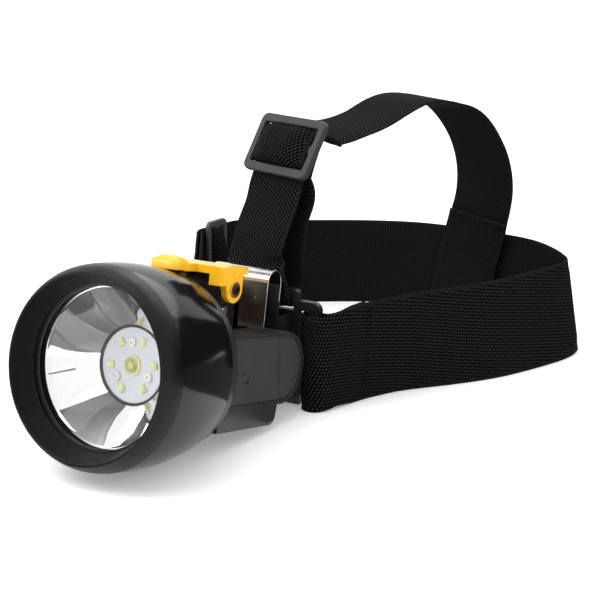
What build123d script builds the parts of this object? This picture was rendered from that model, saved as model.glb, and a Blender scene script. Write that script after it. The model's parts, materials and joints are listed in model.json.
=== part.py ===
"""Cordless cap lamp on an elastic headband with an overhead strap.

Millimetres. Z up, the floor is Z = 0, the lamp faces -Y and X runs across the head. The lamp is
drawn in its own frame (Y along the beam axis pointing backwards, Z up) and then tipped nose-up.
"""
from build123d import *
import math
import os

# Driving dimensions ---------------------------------------------------------------------------
LAMP_TILT = 11.94          # nose-up tilt of the beam axis, degrees
LAMP_POS = (0.0, -92.62, 37.5)  # centre of the bezel opening
BEZEL_R = 34.3             # largest bezel radius
BEZEL_OPEN_R = 27.5        # clear opening radius
BEZEL_BACK = 30.3          # bezel rear face behind the opening
BEZEL_BORE = 29.4          # bore that runs on the body sleeve
SLEEVE_R = 29.34
COLLAR_R = 30.5
COLLAR_BACK = 36.6
REFLECTOR_R = 25.9
REFLECTOR_WALL = 1.2
BOARD_R = 12.6
BOARD_FRONT = 18.2
HOUSING_HALF_X = 24.5      # battery housing half width
HOUSING_TOP = 12.8
HOUSING_BOTTOM = -13.3
HOUSING_ARC_Y = 75.2       # centre of the rounded back
WALL = 1.8
RECESS_HALF_X = 16.5       # channel for the clip in the back of the housing
RECESS_Y = 76.5
CELL_R = 9.15
CELL_LENGTH = 34.6
CELL_POS = (64.8, -0.3)
BUTTON_Y = 49.0
BLOCK_HALF_X = 23.9
BLOCK_BOTTOM = -20.8
PIN_POS = (52.0, 26.9)     # latch pin, beam direction and height
PIN_R = 1.5
CLIP_HALF_X = 13.0
CLIP_T = 0.8
CLIP_FRONT_Y = 77.3        # back face of the front leg
CLIP_REAR_Y = 85.3         # front face of the rear leg
CLIP_TOP = 33.7

PLATE_HALF_X = 27.0        # forehead plate
PLATE_Y = (1.0, 3.5)
PLATE_Z = (0.6, 45.2)
SHOULDER_Z = 41.0          # top of the arms that carry the side posts
SLOT_X = (18.0, 22.0)
WEB_Y = (-10.7, -8.7)
WEB_Z = (14.0, 49.0)
BAND_T = 1.6               # headband webbing
BAND_W = 40.0
LOOP_W = 36.4              # headband gathered inside the plate slots
STRAP_T = 1.4              # overhead webbing
STRAP_W = 30.0
GAP = 0.22                 # air left between layers of webbing
ADJUSTER_SIZE = (47.0, 14.4, 2.2, 1.0, 2.2)  # width, length, bar, half middle bar, depth
SLIDER_SIZE = (36.6, 23.5, 3.6, 1.4, 3.0)
ADJUSTER_POS = (-76.0, 83.0, 23.5)
SLIDER_POS = (-0.6, 21.7, 94.3)
SLIDER_UP = (0.158, 0.469, 0.869)
SLIDER_YAW = 18.1

# Middle of the overhead strap from the slider to the lap, with the direction of its width.
OVERHEAD_ARCH = [
    ((1.9, 35.5, 97.3), (0.93, -0.315, -0.19)), ((3.2, 40.4, 97.2), (0.931, -0.325, -0.164)),
    ((5.0, 48.0, 97.6), (0.947, -0.301, -0.114)), ((7.0, 55.7, 98.3), (0.957, -0.283, -0.069)),
    ((9.6, 73.7, 101.4), (0.986, -0.167, 0.015)), ((12.0, 92.0, 105.4), (0.99, -0.12, 0.0)),
    ((14.2, 111.3, 104.0), (0.99, -0.11, -0.08)), ((17.0, 129.0, 98.4), (0.98, -0.18, -0.04)),
    ((20.4, 143.0, 85.6), (0.97, -0.22, 0.0)), ((22.2, 151.0, 71.0), (0.98, -0.18, 0.0)),
    ((22.4, 152.7, 58.0), (0.99, -0.14, 0.0)), ((21.4, 152.2, 49.0), (0.991, -0.132, 0.0)),
    ((19.4, 152.4, 40.0), (0.992, -0.128, 0.0)), ((15.5, 152.75, 22.0), (0.993, -0.119, 0.0)),
    ((11.6, 153.05, 4.0), (0.994, -0.107, 0.0)),
]

LAMP = Location(LAMP_POS) * Location((0, 0, 0), (-LAMP_TILT, 0, 0))


# Helpers --------------------------------------------------------------------------------------
def save(name, shapes, offset):
    """Write one node, moved by offset: a single solid, or a group of separate solids."""
    flat = [offset * s for item in shapes for s in item.solids()]
    shape = flat[0] if len(flat) == 1 else Compound(children=flat)
    shape.label = name
    export_step(shape, f"parts/{name}.step")


def block(x, y, z):
    """Box between pairs of limits."""
    size = [b - a for a, b in (x, y, z)]
    mid = [(a + b) / 2 for a, b in (x, y, z)]
    return Pos(*mid) * Box(*size)


def turned(points):
    """Body of revolution about the beam axis from (radius, depth) points."""
    return revolve(make_face(Polyline(*points, close=True)), Axis.Y)


def ring(r_in, r_out, y0, y1):
    return turned([(r_in, y0), (r_out, y0), (r_out, y1), (r_in, y1)])


def disc(r, y0, y1, x=0.0, z=0.0):
    """Cylinder along the beam axis."""
    return Pos(x, (y0 + y1) / 2, z) * Rot(90, 0, 0) * Cylinder(r, y1 - y0)


def cross_rod(r, x0, x1, y, z):
    """Cylinder across the lamp, along X."""
    return Pos((x0 + x1) / 2, y, z) * Rot(0, 90, 0) * Cylinder(r, x1 - x0)


def upright(r, z0, z1, x, y):
    return Pos(x, y, (z0 + z1) / 2) * Cylinder(r, z1 - z0)


def side_profile(points, half_x, offset_x=0.0):
    """Extrude a closed (Y, Z) outline symmetrically along X."""
    face = make_face(Polyline(*[(offset_x, y, z) for y, z in points], close=True))
    return extrude(face, half_x, dir=(1, 0, 0), both=True)


def strip(stations, thickness):
    """Webbing lofted through stations of (point, tangent, width direction, width)."""
    faces = []
    for point, tangent, across, width in stations:
        plane = Plane(origin=point, x_dir=across, z_dir=tangent)
        faces.append(plane * Rectangle(width, thickness))
    return loft(faces, ruled=True)


def sample(points, steps):
    """Even samples of a spline through points, each as (point, tangent, fraction)."""
    line = Spline(*points)
    return [(line @ (i / steps), line % (i / steps), i / steps) for i in range(steps + 1)]


def rear_run(depth, thick):
    """Offset of the webbing that lies behind the bars of a glide."""
    return depth / 2 + GAP + thick / 2


def bulge_path(size, thick, height):
    """Webbing that rises through one slot of a glide, over the middle bar and down the other."""
    width, length, bar, mid, depth = size
    reach = length / 2 - bar - GAP - thick / 2
    half = [(reach, -depth / 2 + 0.15), (reach - 0.1, depth / 2), (reach - 0.9, height * 0.62),
            (reach * 0.5, height * 0.93), (0.0, height)]
    return half + [(-u, n) for u, n in reversed(half[:-1])]


# Bezel, lens and light engine -----------------------------------------------------------------
def bezel():
    outer = Spline((31.3, -7.5), (32.7, -5.2), (33.8, -0.6), (BEZEL_R, 6.0), (34.2, 14.0),
                   (33.4, 22.0), (31.9, BEZEL_BACK))
    inner = Polyline((31.9, BEZEL_BACK), (BEZEL_BORE, BEZEL_BACK), (BEZEL_BORE, 1.4),
                     (BEZEL_OPEN_R, 1.4), (BEZEL_OPEN_R, 0.0), (30.2, -7.2))
    lip = ThreePointArc((30.2, -7.2), (30.7, -7.85), (31.3, -7.5))
    body = revolve(make_face(outer + inner + lip), Axis.Y)
    notch = block((11.2, 13.8), (27.6, 31.0), (29.6, 33.0))
    return body - notch


def body_seal():
    """Rubber ring in the joint between bezel and collar."""
    return ring(29.7, 31.2, BEZEL_BACK + 0.02, BEZEL_BACK + 0.38)


def lens_gasket():
    return ring(26.5, 29.3, 1.4, 2.4)


def front_lens():
    return disc(29.3, 2.4, 4.4)


def reflector():
    """Parabolic cup with a front rim that the lens closes."""
    apex = BOARD_FRONT + 4.4
    k = REFLECTOR_R ** 2 / (apex - 4.9)
    depths = [4.9 + i * (BOARD_FRONT - 0.5 - 4.9) / 8 for i in range(9)]
    inner = [(math.sqrt(k * (apex - y)), y) for y in depths]
    outer = [(r + REFLECTOR_WALL, y + 0.5) for r, y in reversed(inner)]
    neck = outer[0]
    outer[0] = (neck[0], inner[-1][1] + 0.1)
    rim = [(outer[-1][0], 5.7), (28.9, 5.7), (28.9, 4.6), (REFLECTOR_R, 4.6)]
    return turned(inner + outer + rim)


def board_screw_points():
    return [(7.6 * math.cos(math.radians(a)), 7.6 * math.sin(math.radians(a)))
            for a in (97, 337, 217)]


def led_board():
    board = disc(BOARD_R, BOARD_FRONT, BOARD_FRONT + 1.6)
    for x, z in board_screw_points():
        board -= disc(1.05, BOARD_FRONT - 1, BOARD_FRONT + 3, x, z)
    return board


def board_ring():
    return ring(BOARD_R + 0.05, BOARD_R + 0.75, BOARD_FRONT - 0.4, BOARD_FRONT + 1.6)


def board_screws():
    screws = []
    for x, z in board_screw_points():
        head = disc(1.5, BOARD_FRONT - 0.7, BOARD_FRONT, x, z)
        shank = disc(1.0, BOARD_FRONT, BOARD_FRONT + 4.6, x, z)
        drive = disc(0.55, BOARD_FRONT - 0.8, BOARD_FRONT - 0.35, x, z)
        screws.append(head + shank - drive)
    return screws


def main_led():
    base = disc(3.4, BOARD_FRONT - 0.8, BOARD_FRONT)
    return base + disc(1.2, BOARD_FRONT - 1.2, BOARD_FRONT - 0.8)


def main_led_dome():
    dome = Pos(0, BOARD_FRONT - 0.8, 0) * Sphere(2.75)
    keep = block((-4, 4), (BOARD_FRONT - 4.5, BOARD_FRONT - 0.8), (-4, 4))
    return (dome & keep) - disc(1.25, BOARD_FRONT - 1.25, BOARD_FRONT)


def aux_leds():
    """Six small indicator-size LEDs in a ring round the main one."""
    chips = []
    for i in range(6):
        a = math.radians(67 + 60 * i)
        x, z = 8.9 * math.cos(a), 8.9 * math.sin(a)
        body = Pos(x, BOARD_FRONT - 0.4, z) * Rot(0, -math.degrees(a), 0) * Box(2.6, 0.8, 2.2)
        chips.append(body + disc(0.9, BOARD_FRONT - 1.05, BOARD_FRONT - 0.8, x, z))
    return chips


def heat_sink():
    back = BOARD_FRONT + 1.6
    core = disc(13.3, back, back + 3.4)
    base = disc(27.4, back + 3.4, back + 6.0)
    sink = core + base
    for i in range(3):
        a = math.radians(30 + 120 * i)
        x, z = 15.0 * math.cos(a), 15.0 * math.sin(a)
        sink += disc(2.0, back + 6.0, back + 8.6, x, z)
    for x, z in board_screw_points():
        sink -= disc(1.0, back - 0.5, back + 3.0, x, z)
    return sink


def driver_board():
    front = BOARD_FRONT + 1.6 + 8.6
    board = disc(19.0, front, front + 1.4)
    inductor = disc(3.4, front + 1.4, front + 4.6, -6.0, 4.0)
    driver = block((3.0, 8.0), (front + 1.4, front + 2.9), (-3.0, 2.0))
    return board + inductor + driver


# Body -----------------------------------------------------------------------------------------
def housing_outline(inset=0.0):
    """D-shaped side view: flat top and bottom, round back."""
    mid = (HOUSING_TOP + HOUSING_BOTTOM) / 2
    r = (HOUSING_TOP - HOUSING_BOTTOM) / 2 - inset
    arc = []
    for i in range(25):
        a = math.radians(90 - 7.5 * i)
        arc.append((HOUSING_ARC_Y + r * math.cos(a), mid + r * math.sin(a)))
    front = COLLAR_BACK - 2.0 + inset * 2.0
    return [(front, mid + r)] + arc + [(front, mid - r)]


def rear_body():
    """Threaded sleeve, collar, bulkhead and battery housing moulded as one."""
    sleeve = ring(27.4, SLEEVE_R, 19.4, 31.0)
    collar = turned([(24.0, BEZEL_BACK + 0.4), (29.8, BEZEL_BACK + 0.4), (COLLAR_R, 31.4),
                     (COLLAR_R, 35.4), (29.3, COLLAR_BACK), (24.0, COLLAR_BACK)])
    bulkhead = disc(29.0, 34.6, COLLAR_BACK)
    shell = side_profile(housing_outline(), HOUSING_HALF_X)
    recess = block((-RECESS_HALF_X, RECESS_HALF_X), (RECESS_Y, 95), (-20, 20))
    cavity = side_profile(housing_outline(WALL), HOUSING_HALF_X - WALL)
    cavity -= block((-RECESS_HALF_X - 1.6, RECESS_HALF_X + 1.6), (RECESS_Y - 1.6, 95), (-20, 20))
    windows = side_profile(housing_outline(1.5), HOUSING_HALF_X + 1)
    windows -= block((-HOUSING_HALF_X + 2.3, HOUSING_HALF_X - 2.3), (30, 95), (-20, 20))
    keep_front = block((-30, 30), (30, COLLAR_BACK + 1.4), (-20, 20))
    body = sleeve + collar + bulkhead + (shell - (cavity - keep_front) - recess)
    body -= windows - keep_front
    body += block((-6, 6), (31.2, 35.2), (28.5, 31.6))
    passage = disc(3.0, 33, 40, 0, 6)
    rivets = [cross_hole(x) for x in (-8.0, 8.0)]
    for tool in [passage] + rivets:
        body -= tool
    return body


def cross_hole(x):
    """Rivet hole through the recess wall behind the clip leg."""
    return disc(1.2, RECESS_Y - 4, RECESS_Y + 1, x, -3.0)


def side_cover(side):
    """D-shaped plate that closes one end of the battery housing, with a small index recess."""
    plate = side_profile(housing_outline(1.56), HOUSING_HALF_X - 0.4)
    plate -= block((-HOUSING_HALF_X + 2.25, HOUSING_HALF_X - 2.25), (30, 95), (-20, 20))
    plate -= block((-30, 30), (30, COLLAR_BACK + 1.46), (-20, 20))
    plate &= block((1, 30), (30, 95), (-20, 20)) if side > 0 else block((-30, -1), (30, 95), (-20, 20))
    if side > 0:
        plate -= cross_rod(0.7, 23.6, 26, 49.5, -1.0)
        plate -= block((23.6, 26), (49.0, 53.0), (-4.4, -3.4))
    else:
        plate -= cross_rod(4.6, -26, -21, BUTTON_Y, 0.0)
    return plate


def bottom_block():
    """Charging compartment under the housing: open-topped tray with rounded rear corner."""
    top = HOUSING_BOTTOM
    low = BLOCK_BOTTOM
    outline = [(COLLAR_BACK, top), (73.6, top), (73.2, low + 3.2), (72.3, low + 1.0),
               (70.4, low), (COLLAR_BACK, low)]
    inner = [(COLLAR_BACK + 1.8, top + 1), (71.6, top + 1), (71.2, low + 3.2), (69.4, low + 1.8),
             (COLLAR_BACK + 1.8, low + 1.8)]
    tray = side_profile(outline, BLOCK_HALF_X) - side_profile(inner, BLOCK_HALF_X - 1.8)
    for x in (-8.0, 8.0):
        tray -= upright(1.8, low - 1, low + 3, x, 64.0)
    for x in (-19.0, 19.0):
        tray += upright(2.4, low + 1, top, x, 44.5)
        tray -= upright(1.0, low - 1, top + 1, x, 44.5)
        tray -= upright(2.0, low - 1, low + 0.9, x, 44.5)
    return tray


def block_screws():
    screws = []
    for x in (-19.0, 19.0):
        head = upright(1.9, BLOCK_BOTTOM + 0.1, BLOCK_BOTTOM + 0.9, x, 44.5)
        shank = upright(0.95, BLOCK_BOTTOM + 0.9, HOUSING_BOTTOM - 0.3, x, 44.5)
        slot = block((x - 1.2, x + 1.2), (44.3, 44.7), (BLOCK_BOTTOM, BLOCK_BOTTOM + 0.45))
        screws.append(head + shank - slot)
    return screws


def charge_contacts():
    studs = []
    for x in (-8.0, 8.0):
        stud = upright(1.75, BLOCK_BOTTOM + 0.2, BLOCK_BOTTOM + 2.6, x, 64.0)
        studs.append(stud + upright(2.6, BLOCK_BOTTOM + 1.8, BLOCK_BOTTOM + 2.6, x, 64.0))
    return studs


# Battery and switch ---------------------------------------------------------------------------
def battery_cell():
    y, z = CELL_POS
    cell = cross_rod(CELL_R, -CELL_LENGTH / 2, CELL_LENGTH / 2 - 1.2, y, z)
    return cell + cross_rod(2.8, CELL_LENGTH / 2 - 1.2, CELL_LENGTH / 2, y, z)


def contact_plate():
    y, z = CELL_POS
    return block((CELL_LENGTH / 2 + 0.05, CELL_LENGTH / 2 + 0.65), (y - 5, y + 5), (z - 6, z + 6))


def contact_spring():
    """Conical battery spring, drawn as a short coil of round wire on a base plate."""
    y, z = CELL_POS
    start = -CELL_LENGTH / 2 - 4.1
    plate = block((start, start + 0.5), (y - 5, y + 5), (z - 6, z + 6))
    coil = Helix(pitch=1.1, height=3.0, radius=3.6)
    wire = sweep(Plane(origin=coil @ 0, z_dir=coil % 0) * Circle(0.32), path=coil)
    return plate + Pos(start + 0.7, y, z) * Rot(0, 90, 0) * wire


def cell_holder():
    """U-shaped tray that locates the cell between its two contacts."""
    y, z = CELL_POS
    low = HOUSING_BOTTOM + WALL + 0.05
    tray = block((-22.0, 19.6), (y - 10.8, y + 9.8), (low, low + 4.5))
    tray -= cross_rod(CELL_R + 0.1, -30, 30, y, z)
    wall_x = CELL_LENGTH / 2 + 0.7
    tray -= block((-wall_x - 3.5, -CELL_LENGTH / 2 - 0.2), (y - 5.2, y + 5.2), (z - 6.5, 10))
    tray -= block((CELL_LENGTH / 2 + 0.02, wall_x), (y - 5.2, y + 5.2), (z - 6.5, 10))
    return tray


def push_button():
    """Rubber-faced cap with a flange that keeps it behind the left cover."""
    face = -HOUSING_HALF_X
    cap = cross_rod(4.5, face - 1.0, face + 2.4, BUTTON_Y, 0.0)
    return cap + cross_rod(5.6, face + 2.35, face + 2.75, BUTTON_Y, 0.0)


def switch_board():
    """Small upright board with the tactile switch behind the button."""
    board = block((-17.6, -16.6), (BUTTON_Y - 5.5, BUTTON_Y + 4.5), (HOUSING_BOTTOM + WALL, 6.0))
    switch = block((-20.2, -17.6), (BUTTON_Y - 3, BUTTON_Y + 3), (-3, 3))
    return board + switch + cross_rod(1.6, -20.7, -20.2, BUTTON_Y, 0.0)


def lead_wires():
    """Two insulated leads from the driver board to the switch board and the cell contact."""
    start = BOARD_FRONT + 11.8
    runs = [[(-1.4, start, 6.0), (-1.4, 38.0, 6.0), (-6.0, 44.5, 6.0), (-16.3, 46.5, 4.0)],
            [(1.4, start, 6.0), (1.4, 38.0, 6.0), (8.0, 48.0, 8.0), (15.6, 53.5, 6.0),
             (17.65, 59.4, 3.0)]]
    wires = []
    for run in runs:
        path = Spline(*run)
        wires.append(sweep(Plane(origin=path @ 0, z_dir=path % 0) * Circle(0.55), path=path))
    return wires


# Latch, pin and clip --------------------------------------------------------------------------
def pivot_block():
    """Upright lug that carries the latch pin, standing on the housing top."""
    y, z = PIN_POS
    lug = side_profile([(y - 4.4, HOUSING_TOP), (y + 5.6, HOUSING_TOP), (y + 4.4, z), (y - 4.4, z)],
                       12.2)
    lug += cross_rod(4.4, -12.2, 12.2, y, z)
    lug -= cross_rod(PIN_R, -20, 20, y, z)
    for x in (-13.0, 13.0):
        lug -= cross_rod(0.9, x - 3.2, x + 3.2, y - 1.8, 19.4)
    return lug


def lug_screws():
    y = PIN_POS[0] - 1.8
    screws = []
    for side in (-1, 1):
        ends = sorted((side * 12.2, side * 13.0))
        shank = sorted((side * 10.0, side * 12.2))
        screws.append(cross_rod(1.5, *ends, y, 19.4) + cross_rod(0.85, *shank, y, 19.4))
    return screws


def latch():
    """Lock lever: frame over the lug with two stops, two ears on the pin and a thumb tab."""
    y, z = PIN_POS
    frame = block((-15, 15), (43.0, 59.4), (z + 5.1, z + 7.8))
    frame += block((-4.2, 4.2), (35.6, 43.0), (z + 5.1, z + 7.8))
    body = frame
    for side in (-1, 1):
        body += block(sorted((side * 10.0, side * 15.0)), (43.0, 46.4), (z + 1.3, z + 5.1))
    for side in (-1, 1):
        x0, x1 = sorted((side * 12.45, side * 14.9))
        ear = cross_rod(4.7, x0, x1, y, z) + block((x0, x1), (y - 5.4, y + 4.7), (z, z + 5.2))
        body += ear
    tab = loft([Plane(origin=(0, 33.6, z + 5.7)) * RectangleRounded(11.6, 11.2, 3.2),
                Plane(origin=(0, 33.6, z + 7.6)) * RectangleRounded(11.0, 10.4, 3.0),
                Plane(origin=(0, 33.0, z + 10.2)) * RectangleRounded(5.2, 4.0, 1.4)])
    body += tab
    for side in (-1, 1):
        body -= cross_rod(2.05, *sorted((side * 12.0, side * 16.0)), y, z)
    return body


def latch_pin():
    y, z = PIN_POS
    return cross_rod(PIN_R, -16.3, 16.3, y, z) - cross_rod(0.8, -17, 17, y, z)


def latch_eyelets():
    """Metal-rimmed bushes pressed in the latch ears; the pin turns inside them."""
    y, z = PIN_POS
    bushes = []
    for side in (-1, 1):
        sleeve = cross_rod(2.05, *sorted((side * 12.45, side * 15.5)), y, z)
        rim = cross_rod(2.75, *sorted((side * 14.9, side * 15.5)), y, z)
        bushes.append(sleeve + rim - cross_rod(PIN_R + 0.05, -17, 17, y, z))
    return bushes


def leaf_spring():
    """Thin steel leaf standing on a foot behind the lug."""
    leaf = block((-12.4, 12.4), (60.0, 60.5), (HOUSING_TOP, 25.0))
    foot = block((-12.4, 12.4), (60.5, 67.0), (HOUSING_TOP, HOUSING_TOP + 0.5))
    return leaf + foot


def steel_clip():
    """Inverted U of spring steel: front leg riveted in the housing recess, rear leg free."""
    mid = (CLIP_FRONT_Y + CLIP_REAR_Y) / 2
    r_in = (CLIP_REAR_Y - CLIP_FRONT_Y) / 2
    r_out = r_in + CLIP_T
    shoulder = CLIP_TOP - r_out
    arc_out = [(mid + r_out * math.cos(math.radians(a)), shoulder + r_out * math.sin(math.radians(a)))
               for a in range(180, -1, -15)]
    arc_in = [(mid + r_in * math.cos(math.radians(a)), shoulder + r_in * math.sin(math.radians(a)))
              for a in range(0, 181, 15)]
    low_front, low_rear = -9.0, 6.4
    outline = ([(mid - r_out, low_front)] + arc_out + [(mid + r_out, low_rear + 3.0),
               (mid + r_out + 0.8, low_rear), (mid + r_in + 0.8, low_rear), (mid + r_in, low_rear + 3.0)]
               + arc_in + [(mid - r_in, low_front)])
    clip = side_profile(outline, CLIP_HALF_X)
    for x in (-8.0, 8.0):
        clip -= disc(1.2, 74, 79, x, -3.0)
    return clip


def clip_rivets():
    rivets = []
    for x in (-8.0, 8.0):
        shank = disc(1.2, RECESS_Y - 1.6, CLIP_FRONT_Y, x, -3.0)
        rivets.append(shank + disc(2.2, CLIP_FRONT_Y, CLIP_FRONT_Y + 0.9, x, -3.0)
                      + disc(1.9, RECESS_Y - 2.2, RECESS_Y - 1.6, x, -3.0))
    return rivets


# Headgear -------------------------------------------------------------------------------------
def forehead_plate():
    """Upright plate with a post each side for the headband, a slot for the overhead strap and a
    bridge that the lamp clip hooks over."""
    plate = plate_panel(SLOT_X[0], PLATE_Z[1], 2.5) + plate_panel(PLATE_HALF_X, SHOULDER_Z, 3.0)
    for side in (-1, 1):
        plate -= block(sorted((side * SLOT_X[0], side * SLOT_X[1])), (-5, 9), (-1, SHOULDER_Z - 3.6))
    plate -= block((-15.7, 15.7), (-5, 9), (37.2, 41.4))
    web = block((-15.6, 15.6), WEB_Y, WEB_Z)
    cheeks = [block(sorted((s * 13.8, s * 15.6)), (WEB_Y[1], PLATE_Y[0]), (WEB_Z[0], 36.0))
              for s in (-1, 1)]
    plate += web
    for cheek in cheeks:
        plate += cheek
    return plate


def plate_panel(half_x, top, corner):
    """Flat panel of the plate, standing on its bottom edge."""
    height = top - PLATE_Z[0]
    face = Plane.XZ * Pos(0, PLATE_Z[0] + height / 2) * RectangleRounded(2 * half_x, height, corner)
    return extrude(face, -PLATE_Y[1]) - extrude(face, -PLATE_Y[0])


def glide(width, length, bar, mid, depth):
    """Three-bar glide in its own frame: width along X, strap along Y, depth along Z."""
    frame = extrude(RectangleRounded(width, length, 3.0), depth / 2, both=True)
    inner = width - 6.0
    opening = extrude(RectangleRounded(inner, length - 2 * bar, 0.4), depth, both=True)
    return frame - (opening - Box(width, 2 * mid, depth * 3))


def bulge(plane, size, thick, height, width):
    """Short run of webbing over the middle bar of a glide placed on plane."""
    path = [plane.from_local_coords(Vector(0, u, n)) for u, n in bulge_path(size, thick, height)]
    stations = [(p, t, plane.x_dir, width) for p, t, _ in sample(path, 48)]
    return strip(stations, thick)


def adjuster_plane():
    """Frame of the headband glide: X up, Y along the band, Z towards the head."""
    return Plane(origin=ADJUSTER_POS, x_dir=(0, 0, 1), z_dir=(1, 0, 0))


def band_adjuster():
    """Glide that sets the headband length, standing upright on the left side."""
    return adjuster_plane() * glide(*ADJUSTER_SIZE)


def adjuster_loop():
    return bulge(adjuster_plane(), ADJUSTER_SIZE, BAND_T, 4.2, BAND_W)


def slider_plane():
    """Frame of the overhead glide: X across the strap, Y along it, Z outwards."""
    up = Vector(*SLIDER_UP).normalized()
    a = math.radians(SLIDER_YAW)
    across = Vector(math.cos(a), -math.sin(a), 0)
    across = (across - up * across.dot(up)).normalized()
    return Plane(origin=SLIDER_POS, x_dir=across, z_dir=across.cross(up))


def strap_slider():
    return slider_plane() * glide(*SLIDER_SIZE)


def slider_loop():
    return bulge(slider_plane(), SLIDER_SIZE, STRAP_T, 5.2, STRAP_W)


def headband():
    """One strip: sewn loop on the right post, round the head, glide, left post and back."""
    ax, ay, az = ADJUSTER_POS
    low = 18.6
    run_x = ax - rear_run(ADJUSTER_SIZE[4], BAND_T)
    back_x = run_x - BAND_T - GAP
    right = [(35.2, 20.6, 20.0), (33.0, 14.0, 19.3), (31.1, 8.6, 18.8), (28.6, 4.75, low),
             (24.5, 4.75, low), (21.35, 4.5, low), (20.3, 2.25, low), (20.7, -0.4, low),
             (22.8, -2.6, low), (26.5, -2.9, low), (29.7, -0.7, low), (31.8, 3.0, 18.7),
             (33.6, 7.8, 18.9), (35.2, 13.4, 19.4), (37.3, 19.8, 20.0)]
    round_head = [(43.5, 33.5, 20.2), (55.5, 53.0, 20.0), (67.0, 73.0, 20.0), (74.8, 95.0, 20.0),
                  (79.2, 112.0, 20.0), (78.6, 122.5, 20.0), (72.5, 131.5, 20.0),
                  (63.5, 139.5, 20.0), (51.8, 147.3, 20.0), (38.5, 151.7, 20.0),
                  (22.0, 153.9, 20.0), (5.5, 156.1, 20.0), (-8.5, 155.8, 20.0),
                  (-21.5, 152.4, 20.0), (-33.5, 147.2, 20.0), (-45.0, 139.6, 20.2),
                  (-54.6, 130.0, 20.8), (-65.0, 117.6, 21.9), (-73.4, 106.6, 22.9)]
    run = [(run_x + 0.9, ay + 17.0, az), (run_x, ay + 12.6, az), (run_x, ay + 5.0, az),
           (run_x, ay, az), (run_x, ay - 4.0, az), (run_x, ay - 7.0, az)]
    left_in = [(-77.2, 73.3, 23.5), (-74.9, 70.1, 23.5), (-70.4, 63.6, 23.2), (-60.2, 48.6, 22.0),
               (-43.0, 21.6, 20.4), (-33.4, 7.6, 19.1), (-28.6, 4.75, low), (-24.5, 4.75, low), (-21.35, 4.5, low),
               (-20.3, 2.25, low), (-21.35, 0.0, low), (-24.5, -0.2, low)]
    back = [(-29.4, 0.2, low), (-35.3, 5.6, 19.2), (-44.6, 20.5, 20.4), (-61.8, 47.5, 22.0),
            (-72.0, 62.5, 23.2), (-76.45, 69.1, 23.5), (-78.95, 72.8, 23.5),
            (back_x, ay - 6.8, az), (back_x, ay - 3.4, az), (back_x, ay, az)]
    path = [Vector(*p) for p in right + round_head + run + left_in + back]
    stations = []
    for point, tangent, _ in sample(path, 300):
        from_plate = math.hypot(abs(point.X) - 27.0, point.Y - 3.0)
        spread = min(max((from_plate - 8.0) / 14.0, 0.0), 1.0)
        flat = Vector(tangent.X, tangent.Y, 0).normalized()
        stations.append((point, flat, (0, 0, 1), LOOP_W + (BAND_W - LOOP_W) * spread))
    return strip(stations, BAND_T)


def overhead_strap():
    """One strip: sewn end behind the slider, round the plate's top bar, over the head, lap."""
    plane = slider_plane()
    rear = rear_run(SLIDER_SIZE[4], STRAP_T)
    behind = rear + STRAP_T + GAP
    y_mid = (PLATE_Y[0] + PLATE_Y[1]) / 2
    reach = (PLATE_Y[1] - PLATE_Y[0]) / 2 + GAP + STRAP_T / 2
    square = Vector(1, 0, 0)
    turned = Vector(0.949, -0.316, 0)
    local = [(0, -behind), (-5.5, -behind - 0.6), (-10.5, -behind - 2.2)]
    run = [(plane.from_local_coords(Vector(0, u, n)), plane.x_dir) for u, n in local]
    run += [(Vector(1.0, 21.6, 77.0), turned), (Vector(0.4, 18.2, 68.0), turned),
            (Vector(0.2, 16.2, 60.0), turned), (Vector(0.2, 15.0, 54.0), turned),
            (Vector(0, 13.0, 48.5), Vector(0.974, -0.225, 0)), (Vector(0, 9.3, 43.8), square),
            (Vector(0, 5.3, 41.0), square), (Vector(0, y_mid, 40.42), square),
            (Vector(0, y_mid - reach + 0.25, 40.85), square),
            (Vector(-0.3, -0.1, 43.0), square), (Vector(-0.9, -0.3, 45.3), square),
            (Vector(-1.8, -0.1, 48.0), Vector(0.996, -0.087, 0)),
            (Vector(-2.9, 2.1, 51.2), Vector(0.976, -0.22, 0)), (Vector(-3.4, 4.2, 54.4), turned), (Vector(-3.1, 6.2, 60.0), turned),
            (Vector(-2.4, 10.2, 68.0), turned), (Vector(-1.6, 14.2, 75.5), turned)]
    local = [(u, -rear) for u in (-12, -6, 0, 4.6)]
    local += [(7.2, -rear - 0.9), (8.3, -rear - 3.4)]
    run += [(plane.from_local_coords(Vector(0, u, n)), plane.x_dir) for u, n in local]
    run += [(Vector(*point), Vector(*across)) for point, across in OVERHEAD_ARCH]
    points, across = zip(*run)
    return strip(strap_stations(points, across), STRAP_T)


def strap_stations(points, across):
    """Stations along a spline, with the width direction blended between the given points."""
    line = Spline(*points)
    marks = [line.param_at_point(p) for p in points]
    marks[0], marks[-1] = 0.0, 1.0
    stations = []
    for i in range(241):
        t = i / 240
        k = max(j for j in range(len(points) - 1) if marks[j] <= t + 1e-9)
        share = (t - marks[k]) / (marks[k + 1] - marks[k])
        wide = across[k] + (across[k + 1] - across[k]) * share
        tangent = line % t
        wide = (wide - tangent * wide.dot(tangent)).normalized()
        stations.append((line @ t, tangent, wide, STRAP_W))
    return stations


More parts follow.
